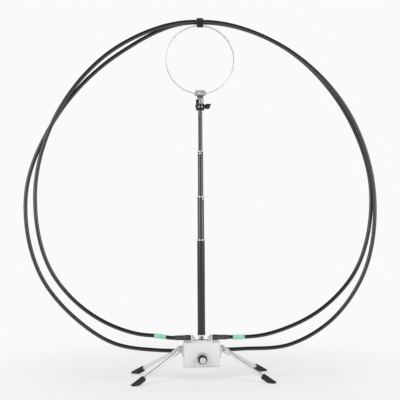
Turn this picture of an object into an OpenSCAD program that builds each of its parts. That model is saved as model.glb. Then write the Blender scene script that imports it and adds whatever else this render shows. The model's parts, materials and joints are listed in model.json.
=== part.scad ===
// Portable two-turn loop antenna on a folding stand.
// Millimetres, +Z up, floor at Z = 0, mast on the Z axis, front towards -Y.

/* [Tuner case] */

// Width of the tuner case, left to right
case_w = 94; // [84:1:120]
// Depth of the tuner case, front to back
case_d = 60; // [56:1:80]
// Height of the tuner case without its bottom cover
case_h = 59; // [58:1:80]
// Wall of the tuner case
case_wall = 3; // [2:0.5:5]
// Radius of the upright corners of the case
case_corner = 7; // [5:0.5:12]
// Thickness of the bottom cover
cover_t = 3; // [2:0.5:5]
// Height of the underside of the case above the floor
case_lift = 33; // [25:1:50]

/* [Tuning capacitor] */

// Outer radius of the rotor plates
rotor_r = 17; // [12:0.5:18]
// Thickness of one capacitor plate
plate_t = 1; // [0.5:0.1:1.2]
// Distance between neighbouring rotor plates
plate_pitch = 4; // [3.6:0.1:4.4]
// Number of rotor plates
rotor_count = 6; // [3:1:6]
// Radius of the tuning shaft and of the rotor shaft
shaft_r = 3; // [2:0.1:3.2]

/* [Tuning knob] */

// Radius of the grip of the tuning knob
knob_r = 10; // [8:0.5:11]
// Length of the grip of the tuning knob
knob_len = 14; // [10:0.5:20]
// Radius of the dial plate behind the knob
dial_r = 18; // [16:0.5:18]

/* [Loop sockets and plugs] */

// Distance between the outer faces of the two socket ears
ear_span = 54; // [50:1:60]
// Thickness of the folded socket bracket
bracket_t = 2.5; // [1.5:0.5:4]
// Depth of the socket bracket, front to back
bracket_d = 24; // [22:1:30]
// Height of the socket axis above the case
socket_rise = 10.5; // [10:0.5:14]
// Radius of the socket barrel over its thread
socket_r = 5.5; // [5:0.1:5.8]
// Radius of the knurled plug nut
nut_r = 7.2; // [6.9:0.1:7.6]
// Radius of the sleeve behind the plug nut
boot_r = 6.4; // [6:0.1:7]

/* [Loop cable] */

// Outside diameter of the loop cable
cable_d = 10.3; // [9:0.1:10.6]
// Number of sides of the cable in this model
cable_sides = 10; // [8:2:16]
// Longest step between two rings of the cable
cable_step = 45; // [30:5:60]
// Height of the lowest pass of the cable, behind the case
pass_z = 66; // [64:1:76]
// Distance of the lowest pass behind the mast axis
pass_y = 43; // [42:1:50]

/* [Mast] */

// Outside diameter of the lowest mast tube
mast_d = 20; // [20:0.1:21]
// Wall of each mast tube
mast_wall = 1.2; // [1:0.1:1.2]
// Radial play between two neighbouring mast tubes
mast_play = 0.3; // [0.25:0.05:0.4]
// Height of the mast foot above the socket bracket
foot_h = 15.5; // [14:0.5:20]
// Radius of the mast foot's neck, below the lowest tube
neck_r = 7; // [6.5:0.1:8]
// Length of the lowest mast tube that shows
reach_1 = 248; // [220:1:280]
// Length of the second mast tube that shows
reach_2 = 112; // [100:1:130]
// Length of the third mast tube that shows
reach_3 = 118; // [106:1:130]
// Length of the top mast tube that shows
reach_4 = 105; // [92:1:120]
// Length of a tube that stays inside the one below it
overlap = 33; // [24:1:40]
// Height of a bright collar
collar_h = 3.5; // [2.5:0.5:5]
// Distance of a lock button below the top of its collar
button_drop = 7; // [6.5:0.5:9]

/* [Tilt head] */

// Thickness of each cheek of the fork
cheek_t = 4; // [3:0.5:5]
// Thickness of the middle prong of the fork and of the two prongs of the tongue
prong_t = 4; // [3.2:0.1:4.4]
// Radius of the rounded ends of cheeks and prongs
knuckle_r = 7; // [6:0.5:8]
// Height of the tilt axis above the foot of the fork
tilt_rise = 10; // [9.5:0.5:14]
// Height of the feed block
block_h = 13; // [12.5:0.5:16]
// Width of the feed block
block_w = 28; // [26:0.5:34]

/* [Coupling ring] */

// Outer radius of the coupling ring
ring_r = 89; // [80:1:100]
// Thickness of the ring strip
strip_t = 1.5; // [1.2:0.1:3]
// Width of the ring strip, front to back
strip_w = 20; // [16:0.5:21]

/* [Stand] */

// Diameter of a leg rod
rod_d = 8; // [6:0.5:8.5]
// Reach of a foot beyond its leg hinge, sideways
leg_reach = 112; // [100:1:125]
// Reach of a foot beyond the start of its rod, forwards or backwards
leg_spread = 70; // [60:1:80]
// Radius of a rubber foot
foot_r = 7.5; // [6.5:0.5:9]

/* [Hidden] */

$fn = 48;

// Clearances
run_fit = 0.05;
seat_fit = 0.02;
play = 0.3;

// Case
case_floor = case_lift + cover_t;
case_top = case_floor + case_h;
in_w = case_w - 2 * case_wall;
in_d = case_d - 2 * case_wall;
front_y = -case_d / 2;
rear_y = case_d / 2;
side_x = case_w / 2;
in_front_y = front_y + case_wall;
boss_r = 4.2;
boss_x = in_w / 2 - 4.5;
boss_y = in_d / 2 - 4.5;
cover_screw_r = 1.25;
cover_head_r = 2.8;
cover_head_h = 1.8;
insert_r = 5;
insert_h = 10;
thread_hole_r = 2.55;
thread_hole_len = 8;

// Capacitor, its shaft runs from front to back
shaft_z = case_lift + 30;
frame_w = 56;
frame_t = 3;
frame_front_y = -10;
frame_rear_y = 20;
frame_top = shaft_z + 22;
stator_rod_x = 23;
stator_rod_z = 7;
stator_rod_r = 1.5;
stator_hole_r = 7;
stator_r = 20;
wing_angle = 84;
first_rotor_y = frame_front_y + frame_t + plate_pitch;
drive_r = 12;
drive_side_r = 8;
drive_front_y = -24;
drive_split_y = -17;
shaft_end_gap = 1;
shaft_tail_y = in_d / 2 - shaft_end_gap;

// Knob, on an axis of its own below the rotor shaft
knob_z = case_lift + 20.5;
dial_t = 1.2;
skirt_r = knob_r + 2;
skirt_t = 3;
knob_rear_y = front_y - dial_t - 0.5;
knob_front_y = knob_rear_y - skirt_t - knob_len;
flute_count = 20;
flute_r = 0.9;

// Socket bracket, sockets and plugs, measured from the middle outwards
bracket_top = case_top + bracket_t;
socket_z = case_top + socket_rise;
ear_x = ear_span / 2;
bend_r = bracket_t + 0.5;
screw_x = 16.5;
screw_y = 8.2;
screw_r = 1.5;
screw_head_r = 2.6;
screw_head_h = 1.8;
socket_len = 13;
socket_bore_r = 4;
socket_neck_r = 4.5;
inner_nut_r = 6.5;
ear_top = socket_z + inner_nut_r + 1;
inner_nut_t = 2.5;
tail_r = 2;
tail_x = 17.5;
strap_t = 0.8;
strap_w = 6;
strap_x = 19;
strap_slot_w = 9;
strap_slot_t = 4;
nut_x = ear_x + 1.2;
nut_len = 17;
nut_wall_t = 2.2;
nut_bore_r = socket_r + 0.25;
plug_nose_x = ear_x + 3;
plug_flange_x = ear_x + socket_len + 0.5;
plug_flange_t = 1.6;
plug_neck_r = 4.3;
plug_flange_r = nut_bore_r - 0.3;
plug_back_x = nut_x + nut_len + 0.3;
plug_back_r = cable_d / 2 - 0.1;
cable_x = plug_back_x + 6;
boot_len = 24;
boot_bore_r = cable_d / 2 + 0.2;
band_len = 31;
band_r = cable_d / 2 + 1;
band_bore_r = cable_d / 2 + 0.55;
band_x_left = 108;
band_x_right = 97;

// Mast tubes, numbered from the foot upwards
function tube_r(n) = mast_d / 2 - (n - 1) * (mast_wall + mast_play);
function tube_in(n) = tube_r(n) - mast_wall;
foot_top = bracket_top + foot_h;
foot_flange_r = 13;
foot_flange_t = 2.5;
foot_shoulder_t = 3;
foot_screw_head_r = screw_head_r + 0.4;
foot_screw_z = foot_top - foot_shoulder_t - foot_screw_head_r - 0.5;
spigot_h = 12;
top_1 = foot_top + reach_1;
top_2 = top_1 + reach_2;
top_3 = top_2 + reach_3;
fork_foot = top_3 + reach_4;
tops = [0, top_1, top_2, top_3];
collar_over = 0.7;
bush_h = 8;
button_turn = [0, 67, 29, -15];
button_stem_r = 1.5;
button_hole_r = 1.65;
button_head_r = 2.4;
button_stroke = 0.6;
button_lift = button_stroke + 0.3;
groove_depth = 0.65;
groove_w = 3.8;
slide_room = 12;

// Tilt head
tilt_z = fork_foot + tilt_rise;
fork_web_top = tilt_z - knuckle_r - 0.5;
fork_spigot = 14;
prong_in = prong_t / 2 + play;
prong_out = prong_in + prong_t;
cheek_in = prong_out + play;
cheek_out = cheek_in + cheek_t;
hub_z = tilt_z + knuckle_r + 0.5;
hub_side_r = 5.4;
hub_slot_w = 2.6;
hub_slot_d = 2.5;
hub_rim = 2;
tall_cheek = 12;
bolt_r = 2.5;
bolt_head_r = 4.5;
bolt_head_t = 2.5;
wing_x = cheek_out + play;
wing_len = 17.5;
wing_hub_r = 4.6;
wing_t = 4;
stem_top = tilt_z + 21.5;
lock_h = 6;
lock_r = 8;
stud_r = 3;
block_z = stem_top + lock_h + 2 * play;
block_top = block_z + block_h;
block_d = strip_w + 4;
block_chamfer = 4;

// Coupling ring
ring_bottom = block_z + 4;
ring_z = ring_bottom + ring_r;
ring_in_r = ring_r - strip_t;
ring_top = ring_z + ring_r;
ring_gap_angle = 6;
pocket_play = 0.1;
ring_screw_x = 9;
ring_screw_y = 6;
ring_screw_r = 1.2;
ring_hole_r = 1.4;
ring_head_r = 2.2;
ring_head_h = 1.5;
feed_z = block_z + block_h / 2;
feed_len = 10;
feed_flange_r = 6.5;
feed_flange_t = 1.5;

// Clip that joins the loop and the coupling ring
clip_w = 16.5;
clip_floor = 2.4;
clip_over = 1.4;
clip_play = 0.9;
turn_y = 6;
clip_bore_r = cable_d / 2 + 0.4;
clip_bottom = ring_top + clip_play;
clip_cable_z = clip_bottom + clip_floor + clip_bore_r;
clip_top = clip_cable_z + clip_bore_r + clip_over + 1.4;
clip_front = strip_w / 2 + 3.4;
clip_lip_t = 2.4;
clip_lip_h = 8;

// Stand, right side, the left side is its mirror image
hinge_x = side_x + 9;
hinge_z = case_top - 20;
hinge_pin_r = 2.5;
hinge_barrel_r = 6;
hinge_ear_r = 6.5;
hinge_ear_y = 21;
hinge_ear_t = 2.5;
hinge_plate_t = 2.5;
hinge_plate_h = 26;
hinge_plate_top = 8;
hinge_screw_y = 5;
hinge_screw_drop = 14;
rod_start_y = 8.5;
rod_start = 8;
rod_socket = 22;
foot_len = 24;
leg_drop = hinge_z - 4;
rod_len = norm([leg_reach, leg_spread, leg_drop]);
heel_angle = atan2(leg_drop, leg_reach);
heel_len = 12;
heel_w = 28;
heel_t = 5;
floor_depth = 40;

// Loop route: [angle clockwise from the top, radius over the mean, depth]
loop_r = (clip_cable_z - pass_z + 30) / 2;
loop_z = pass_z + loop_r - 26;
loop_keys = [
  [-150, -34, 0],
  [-135, -18, -1],
  [-120, -9, -2],
  [-90, -19, -4],
  [-60, -24, -6],
  [-30, -14, -6],
  [-2, -3.7, -6],
  [0, -4, -6],
  [2, -3.7, -6],
  [30, -9, -6],
  [60, -4, -6],
  [90, 12, -5],
  [120, 39, 4],
  [135, 40, 12],
  [150, 24, 26],
  [165, -13, pass_y - 4],
  [180, -26, pass_y],
  [195, -13, pass_y - 4],
  [210, 11, 27],
  [225, 17, 16],
  [240, 22, 11],
  [270, 5, 7],
  [300, -27, 6],
  [330, -29, 6],
  [358, -3.7, 6],
  [360, -4, 6],
  [362, -3.7, 6],
  [390, -7, 6],
  [420, -9, 7],
  [450, 7, 7],
  [480, 13, 2],
  [495, -3, 0],
  [510, -26, 0],
];
function loop_point(key) = [
  (loop_r + key[1]) * sin(key[0]),
  key[2],
  loop_z + (loop_r + key[1]) * cos(key[0])
];
plug_straight = 22;
band_rise_left = 5;
band_rise_right = -0.5;
turn_start_x = 166;
turn_start_rise = 12;
turn_end_x = 164;
turn_end_rise = 4.5;
left_end = [
  [-cable_x, 0, socket_z],
  [-cable_x - plug_straight, 0, socket_z],
  [-band_x_left, 0, socket_z + band_rise_left],
  [-turn_start_x, 0, socket_z + turn_start_rise],
];
right_end = [
  [turn_end_x, 0, socket_z + turn_end_rise],
  [band_x_right, 0, socket_z + band_rise_right],
  [cable_x + plug_straight, 0, socket_z],
  [cable_x, 0, socket_z],
];
knots = concat(left_end, [for (key = loop_keys) loop_point(key)], right_end);
last_knot = len(knots) - 1;

// Smooth path through the knots
function span(i) = norm(knots[i + 1] - knots[i]);
function slope_in(i) = (knots[i] - knots[i - 1]) / span(i - 1);
function slope_out(i) = (knots[i + 1] - knots[i]) / span(i);
function blend_slope(i) = (slope_out(i) * span(i - 1) + slope_in(i) * span(i)) / (span(i - 1) + span(i));
function is_end(i) = i <= 1 || i >= last_knot - 1;
function knot_slope(i) = is_end(i) ? [-1, 0, 0] : blend_slope(i);
function hermite(p, m, q, n, t) =
  (2 * t * t * t - 3 * t * t + 1) * p
  + (t * t * t - 2 * t * t + t) * m
  + (3 * t * t - 2 * t * t * t) * q
  + (t * t * t - t * t) * n;
function path_at(i, t) =
  hermite(knots[i], knot_slope(i) * span(i), knots[i + 1], knot_slope(i + 1) * span(i), t);
path = concat(
  [
    for (i = [0:last_knot - 1])
      let (steps = ceil(span(i) / cable_step))
        for (k = [0:steps - 1])
          path_at(i, k / steps)
  ],
  [knots[last_knot]]
);
ring_count = len(path);
function unit(v) = v / norm(v);
function run_at(i) =
  i == 0 ? unit(path[1] - path[0]) :
  i == ring_count - 1 ? unit(path[i] - path[i - 1]) :
  unit(path[i + 1] - path[i - 1]);
function side_at(i) = unit(cross(run_at(i), [0, 1, 0]));
function deep_at(i) = cross(side_at(i), run_at(i));
cable_r = cable_d / 2;
cable_points = [
  for (i = [0:ring_count - 1])
    for (k = [0:cable_sides - 1])
      let (a = 360 * (k + 0.5) / cable_sides)
        path[i] + cable_r * (cos(a) * side_at(i) + sin(a) * deep_at(i))
];
function corner(i, k) = i * cable_sides + k % cable_sides;
cable_faces = concat(
  [for (k = [1:cable_sides - 2]) [corner(0, 0), corner(0, k), corner(0, k + 1)]],
  [
    for (i = [0:ring_count - 2])
      for (k = [0:cable_sides - 1])
        [corner(i, k), corner(i + 1, k), corner(i + 1, k + 1)]
  ],
  [
    for (i = [0:ring_count - 2])
      for (k = [0:cable_sides - 1])
        [corner(i, k), corner(i + 1, k + 1), corner(i, k + 1)]
  ],
  [
    for (k = [1:cable_sides - 2])
      [corner(ring_count - 1, 0), corner(ring_count - 1, k + 1), corner(ring_count - 1, k)]
  ]
);
steps_apart = ceil(400 / cable_step);
turn_gap = min([
  for (i = [0:ring_count - 1 - steps_apart])
    min([
      for (j = [i + steps_apart:ring_count - 1])
        norm(path[i] - path[j])
    ])
]) - cable_d;
function path_length(i) = i == 0 ? 0 : path_length(i - 1) + norm(path[i] - path[i - 1]);
echo(least_gap_between_turns = turn_gap);
echo(cable_length = path_length(ring_count - 1));

// Shared shapes

// Rectangle with rounded corners
module rounded_rect(w, d, r) {
  square([w - 2 * r, d], center = true);
  square([w, d - 2 * r], center = true);
  for (x = [-1, 1])
    for (y = [-1, 1])
      translate([x * (w / 2 - r), y * (d / 2 - r)])
        circle(r);
}

// Cylinder along +X from x0 to x1
module bar_x(x0, x1, r) {
  translate([x0, 0, 0])
    rotate([0, 90, 0])
      cylinder(h = x1 - x0, r = r);
}

// Cylinder along +Y from y0 to y1
module bar_y(y0, y1, r) {
  translate([0, y0, 0])
    rotate([-90, 0, 0])
      cylinder(h = y1 - y0, r = r);
}

// Hollow cylinder along +Z
module pipe(z0, z1, r, bore) {
  translate([0, 0, z0])
    difference() {
      cylinder(h = z1 - z0, r = r);
      translate([0, 0, -1])
        cylinder(h = z1 - z0 + 2, r = bore);
    }
}

// Right piece and its mirror image on the left
module both_sides() {
  children();
  mirror([1, 0, 0])
    children();
}

// Moves children to the rotor shaft
module on_shaft() {
  translate([0, 0, shaft_z])
    children();
}

// Moves children to the knob shaft
module on_knob() {
  translate([0, 0, knob_z])
    children();
}

// Moves children to the socket axis
module on_sockets() {
  translate([0, 0, socket_z])
    children();
}

// Fluted round grip along +Z
module fluted(h, r, count, flute) {
  difference() {
    cylinder(h = h, r = r);
    for (i = [0:count - 1])
      rotate([0, 0, i * 360 / count])
        translate([r + flute * 0.35, 0, -1])
          cylinder(h = h + 2, r = flute, $fn = 16);
  }
}

// Places children on a right rod, +Z along the rod, for the front or rear rod
module on_rod(s) {
  translate([hinge_x, s * rod_start_y, hinge_z])
    rotate([0, 0, atan2(s * leg_spread, leg_reach)])
      rotate([0, 90 + atan2(leg_drop, norm([leg_reach, leg_spread])), 0])
        children();
}

// Radial places of lock button n, +X outwards
module on_button(n) {
  translate([0, 0, tops[n] - button_drop])
    rotate([0, 0, button_turn[n] - 90])
      children();
}

// Tuner case and what it holds

module tuner_case() {
  color("whitesmoke")
    difference() {
      translate([0, 0, case_floor])
        linear_extrude(case_h)
          rounded_rect(case_w, case_d, case_corner);
      difference() {
        translate([0, 0, case_floor - 1])
          linear_extrude(case_h - case_wall + 1)
            rounded_rect(in_w, in_d, case_corner - case_wall);
        for (x = [-1, 1])
          for (y = [-1, 1])
            translate([x * boss_x, y * boss_y, case_floor - 2])
              cylinder(h = case_h, r = boss_r);
      }
      for (x = [-1, 1])
        for (y = [-1, 1])
          translate([x * boss_x, y * boss_y, case_floor - 1])
            cylinder(h = 13, r = cover_screw_r + seat_fit);
      on_knob()
        bar_y(front_y - 1, in_front_y + 1, shaft_r + run_fit);
      both_sides()
        translate([strap_x - strap_slot_t / 2, -strap_slot_w / 2, case_top - case_wall - 1])
          cube([strap_slot_t, strap_slot_w, case_wall + 2]);
      for (x = [-1, 1])
        for (y = [-1, 1])
          translate([x * screw_x, y * screw_y, case_top - case_wall - 1])
            cylinder(h = case_wall + 2, r = screw_r + seat_fit);
      both_sides()
        for (y = [-1, 1])
          translate([side_x - case_wall - 1, y * hinge_screw_y, hinge_z - hinge_screw_drop])
            rotate([0, 90, 0])
              cylinder(h = case_wall + 2, r = screw_r + seat_fit);
    }
}

module bottom_cover() {
  color("gainsboro")
    difference() {
      translate([0, 0, case_lift])
        linear_extrude(cover_t)
          rounded_rect(case_w, case_d, case_corner);
      for (x = [-1, 1])
        for (y = [-1, 1])
          translate([x * boss_x, y * boss_y, case_lift - 1]) {
            cylinder(h = cover_t + 2, r = cover_screw_r + 0.2);
            cylinder(h = cover_head_h + 1, r = cover_head_r + 0.1);
          }
      translate([0, 0, case_lift - 1])
        cylinder(h = cover_t + 2, r = insert_r + seat_fit);
    }
}

module cover_screws() {
  color("dimgray")
    for (x = [-1, 1])
      for (y = [-1, 1])
        translate([x * boss_x, y * boss_y, case_lift]) {
          cylinder(h = cover_head_h, r = cover_head_r);
          translate([0, 0, cover_head_h - 0.5])
            cylinder(h = cover_t + 10 - cover_head_h, r = cover_screw_r);
        }
}

module tripod_insert() {
  color("goldenrod")
    difference() {
      union() {
        translate([0, 0, case_lift])
          cylinder(h = insert_h, r = insert_r);
        translate([0, 0, case_floor])
          cylinder(h = 2, r = insert_r + 2);
      }
      translate([0, 0, case_lift - 1])
        cylinder(h = thread_hole_len + 1, r = thread_hole_r);
    }
}

module dial_plate() {
  color("silver")
    on_knob()
      difference() {
        bar_y(front_y - dial_t, front_y, dial_r);
        bar_y(front_y - dial_t - 1, front_y + 1, shaft_r + 1);
      }
}

module capacitor_frame() {
  color("ivory")
    difference() {
      for (y = [frame_front_y, frame_rear_y])
        translate([-frame_w / 2, y, case_floor])
          cube([frame_w, frame_t, frame_top - case_floor]);
      on_shaft()
        bar_y(frame_front_y - 1, frame_rear_y + frame_t + 1, shaft_r + run_fit);
      for (x = [-1, 1])
        for (z = [-1, 1])
          translate([x * stator_rod_x, 0, shaft_z + z * stator_rod_z])
            bar_y(frame_front_y - 1, frame_rear_y + frame_t + 1, stator_rod_r + seat_fit);
      translate([0, 0, case_floor - 1])
        cylinder(h = insert_h, r = insert_r + 3);
    }
}

// One sector plate of the capacitor, its middle on +X, standing across Y
module sector(y, r_in, r_out, angle) {
  translate([0, y + plate_t / 2, 0])
    rotate([90, 0, 0])
      linear_extrude(plate_t)
        intersection() {
          difference() {
            circle(r_out);
            circle(r_in);
          }
          polygon([
            [0, 0],
            [2 * r_out * cos(angle / 2), -2 * r_out * sin(angle / 2)],
            [2 * r_out * cos(angle / 2), 2 * r_out * sin(angle / 2)],
          ]);
        }
}

module stator_plates() {
  color("lightgray")
    on_shaft()
      both_sides() {
        for (i = [0:rotor_count])
          difference() {
            union() {
              sector(first_rotor_y + (i - 0.5) * plate_pitch, stator_hole_r, stator_r, wing_angle);
              translate([stator_r - 4, first_rotor_y + (i - 0.5) * plate_pitch - plate_t / 2, -10])
                cube([stator_rod_x - stator_r + 7, plate_t, 20]);
            }
          }
        for (z = [-1, 1])
          translate([stator_rod_x, 0, z * stator_rod_z])
            bar_y(frame_front_y - 1, frame_rear_y + frame_t + 1, stator_rod_r);
      }
}

module reduction_drive() {
  color("darkgray")
    difference() {
      union() {
        on_shaft() {
          bar_y(drive_front_y, frame_front_y, drive_r);
          bar_y(frame_front_y - 2, frame_front_y, drive_r + 4);
        }
        on_knob()
          bar_y(drive_front_y, frame_front_y, drive_side_r);
      }
      on_knob()
        bar_y(drive_front_y - 1, drive_split_y, shaft_r + run_fit);
      on_shaft()
        bar_y(drive_split_y, frame_front_y + 1, shaft_r + run_fit);
    }
}

module copper_straps() {
  color("peru")
    both_sides()
      difference() {
        union() {
          translate([strap_x - strap_t / 2, -strap_w / 2, frame_top - 6])
            cube([strap_t, strap_w, socket_z + strap_w / 2 - frame_top + 6]);
          translate([strap_x - strap_t / 2, -strap_w / 2, frame_top - 6])
            cube([stator_rod_x + 3 - strap_x, strap_w, strap_t]);
          translate([stator_rod_x + 2.2, -strap_w / 2, shaft_z + stator_rod_z + stator_rod_r + 1.6])
            cube([strap_t, strap_w, frame_top - 6 - shaft_z - stator_rod_z - stator_rod_r - 1.6 + strap_t]);
        }
        on_sockets()
          bar_x(tail_x - 3, ear_x, tail_r + seat_fit);
      }
}

// Socket bracket with the two loop sockets and the mast foot

// Rounded fold between the base and the right ear, in front view
module fold_shape() {
  translate([ear_x - bend_r, case_top + bend_r])
    intersection() {
      difference() {
        circle(bend_r);
        circle(bend_r - bracket_t);
      }
      translate([0, -bend_r])
        square(bend_r);
    }
}

module socket_bracket() {
  color("silver")
    difference() {
      translate([0, bracket_d / 2, 0])
        rotate([90, 0, 0])
          linear_extrude(bracket_d) {
            translate([-ear_x + bend_r, case_top])
              square([ear_span - 2 * bend_r, bracket_t]);
            both_sides() {
              translate([ear_x - bracket_t, case_top + bend_r])
                square([bracket_t, ear_top - case_top - bend_r]);
              fold_shape();
            }
          }
      on_sockets()
        bar_x(-ear_x - 1, ear_x + 1, socket_neck_r + seat_fit);
      both_sides()
        translate([strap_x - strap_slot_t / 2, -strap_slot_w / 2, case_top - 1])
          cube([strap_slot_t, strap_slot_w, bracket_t + 2]);
      for (x = [-1, 1])
        for (y = [-1, 1])
          translate([x * screw_x, y * screw_y, case_top - 1])
            cylinder(h = bracket_t + 2, r = screw_r + 0.1);
    }
}

module bracket_screws() {
  color("gainsboro")
    for (x = [-1, 1])
      for (y = [-1, 1])
        translate([x * screw_x, y * screw_y, 0]) {
          translate([0, 0, bracket_top])
            cylinder(h = screw_head_h, r = screw_head_r);
          translate([0, 0, bracket_top - 8])
            cylinder(h = 8.5, r = screw_r);
        }
}

module loop_sockets() {
  color("lightsteelblue")
    on_sockets()
      both_sides()
        difference() {
          union() {
            bar_x(ear_x, ear_x + socket_len, socket_r);
            bar_x(ear_x - bracket_t - 1, ear_x + 1, socket_neck_r);
            bar_x(ear_x - bracket_t - inner_nut_t, ear_x - bracket_t, inner_nut_r);
          }
          bar_x(ear_x + 2, ear_x + socket_len + 1, socket_bore_r);
          bar_x(ear_x - bracket_t - inner_nut_t - 1, ear_x + 3, socket_neck_r - 1.2);
        }
}

module socket_insulators() {
  color("white")
    on_sockets()
      both_sides()
        difference() {
          union() {
            bar_x(ear_x - bracket_t - inner_nut_t - 1.5, ear_x + 2, socket_neck_r - 1.2 - seat_fit);
            bar_x(tail_x - 2, ear_x - bracket_t - inner_nut_t - 1, tail_r);
          }
        }
}

module mast_foot() {
  color("darkgray")
    difference() {
      union() {
        translate([0, 0, bracket_top])
          cylinder(h = foot_h, r = neck_r);
        translate([0, 0, bracket_top])
          cylinder(h = foot_flange_t, r = foot_flange_r);
        translate([0, 0, foot_top - foot_shoulder_t])
          cylinder(h = foot_shoulder_t, r = tube_r(1));
        translate([0, 0, foot_top])
          cylinder(h = spigot_h, r = tube_in(1) - run_fit);
      }
      translate([0, 0, foot_screw_z])
        bar_y(-neck_r - 1, -3, screw_r + seat_fit);
    }
}

module mast_foot_screw() {
  color("black")
    translate([0, 0, foot_screw_z])
      difference() {
        union() {
          bar_y(-neck_r + 1, -3.5, screw_r);
          bar_y(-neck_r - 2, -neck_r + 1.2, screw_r);
          bar_y(-neck_r - 2.6, -neck_r - 0.1, foot_screw_head_r);
        }
        translate([0, -neck_r - 2.7, 0])
          rotate([-90, 0, 0])
            cylinder(h = 1.6, r = 1.4, $fn = 6);
      }
}

// Mast

// Mast tube n from z0 to z1, with the hole of its own button and the groove for the one below
module mast_tube(n, z0, z1) {
  color("#2c2b2b")
    difference() {
      pipe(z0, z1, tube_r(n), tube_in(n));
      if (n < 4)
        on_button(n)
          bar_x(tube_in(n) - 2, tube_r(n) + 2, button_hole_r);
      if (n > 1)
        on_button(n - 1)
          translate([tube_r(n) - groove_depth, -groove_w / 2, -4])
            cube([3, groove_w, z1 - slide_room - tops[n - 1] + button_drop + 4]);
    }
}

module mast_collar(n) {
  color("gainsboro")
    pipe(tops[n] - collar_h, tops[n], tube_r(n) + collar_over, tube_r(n + 1) + mast_play);
}

// Guide bush under the foot of tube n
module mast_bush(n) {
  color("dimgray")
    pipe(tops[n - 1] - overlap - bush_h, tops[n - 1] - overlap, tube_in(n - 1) - run_fit, tube_in(n) - 0.8);
}

module mast_tube_1() {
  mast_tube(1, foot_top, top_1 - collar_h);
}

module mast_tube_2() {
  mast_tube(2, top_1 - overlap, top_2 - collar_h);
}

module mast_tube_3() {
  mast_tube(3, top_2 - overlap, top_3 - collar_h);
}

module mast_tube_4() {
  mast_tube(4, top_3 - overlap, fork_foot);
}

module mast_collar_1() {
  mast_collar(1);
}

module mast_collar_2() {
  mast_collar(2);
}

module mast_collar_3() {
  mast_collar(3);
}

module mast_bush_2() {
  mast_bush(2);
}

module mast_bush_3() {
  mast_bush(3);
}

module mast_bush_4() {
  mast_bush(4);
}

// Lock button of tube n, pressed towards the mast axis
module lock_button(n) {
  color("white")
    on_button(n)
      translate([tube_in(n), 0, 0])
        rotate([0, 90, 0])
          rotate_extrude() {
            square([button_stem_r, mast_wall + button_lift + 0.5]);
            intersection() {
              translate([0, mast_wall + button_lift])
                square([button_head_r, 1.6]);
              translate([0, mast_wall + button_lift - 1.9])
                circle(3.4);
            }
          }
}

module lock_button_1() {
  lock_button(1);
}

module lock_button_2() {
  lock_button(2);
}

module lock_button_3() {
  lock_button(3);
}

// Tilt head

// Upright cheek or tongue with a round end on the tilt axis
module knuckle(x0, x1, foot, top) {
  translate([x0, -knuckle_r, foot])
    cube([x1 - x0, 2 * knuckle_r, top - foot]);
  translate([0, 0, top])
    bar_x(x0, x1, knuckle_r);
}

module head_fork() {
  color("#1d1d1d")
    difference() {
      union() {
        translate([0, 0, fork_foot - fork_spigot])
          cylinder(h = fork_spigot + 1, r = tube_in(4) - run_fit);
        translate([-cheek_out, -knuckle_r, fork_foot])
          cube([2 * cheek_out, 2 * knuckle_r, fork_web_top - fork_foot]);
        knuckle(-prong_t / 2, prong_t / 2, fork_web_top - 1, tilt_z);
        knuckle(cheek_in, cheek_out, fork_web_top - 1, tilt_z);
        knuckle(-cheek_out, -cheek_in, fork_web_top - 1, tilt_z + tall_cheek);
      }
      translate([0, 0, tilt_z])
        bar_x(-cheek_out - 1, cheek_out + 1, bolt_r + seat_fit);
    }
}

module tilt_bolt() {
  color("gray")
    translate([0, 0, tilt_z]) {
      bar_x(-cheek_out, wing_x + 8, bolt_r);
      translate([-cheek_out - bolt_head_t, 0, 0])
        rotate([0, 90, 0])
          cylinder(h = bolt_head_t, r = bolt_head_r, $fn = 6);
    }
}

module wing_knob() {
  color("black")
    translate([0, 0, tilt_z])
      difference() {
        union() {
          bar_x(wing_x, wing_x + 9, wing_hub_r);
          rotate([90, 0, 0])
            translate([0, 0, -wing_t / 2])
              linear_extrude(wing_t)
                polygon([
                  [wing_x + 1, -4.2],
                  [wing_x + 3, -6.5],
                  [wing_x + 12, -6.5],
                  [wing_x + 13.5, -5],
                  [wing_x + wing_len, 5.5],
                  [wing_x + wing_len - 1, 7],
                  [wing_x + 6, 7],
                  [wing_x + 1, 4.2],
                ]);
        }
        bar_x(wing_x - 1, wing_x + 8.5, bolt_r + run_fit);
      }
}

module tilt_tongue() {
  color("silver")
    difference() {
      union() {
        both_sides() {
          translate([0, 0, tilt_z])
            bar_x(prong_in, prong_out, knuckle_r);
          translate([prong_in, -knuckle_r + 1, tilt_z])
            cube([prong_t, 2 * knuckle_r - 2, hub_z - tilt_z + 1]);
        }
        translate([0, 0, hub_z])
          cylinder(h = stem_top - hub_z, r = prong_out);
        translate([cheek_out - 1 - hub_side_r, 0, hub_z])
          cylinder(h = stem_top - hub_z, r = hub_side_r);
        translate([0, 0, stem_top - 1])
          cylinder(h = block_z + 3 - stem_top + 1, r = stud_r);
      }
      translate([0, 0, tilt_z])
        bar_x(-prong_out - 1, prong_out + 1, bolt_r + run_fit);
      for (side = [-1, 1])
        translate([-hub_slot_w / 2, side * prong_out - hub_slot_d, hub_z - 1])
          cube([hub_slot_w, 2 * hub_slot_d, stem_top - hub_rim - hub_z + 1]);
    }
}

module lock_ring() {
  color("#222222")
    difference() {
      translate([0, 0, stem_top + play])
        fluted(lock_h, lock_r, 20, 0.9);
      translate([0, 0, stem_top])
        cylinder(h = lock_h + 2, r = stud_r + run_fit);
    }
}

// Coupling ring with its feed block

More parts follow.
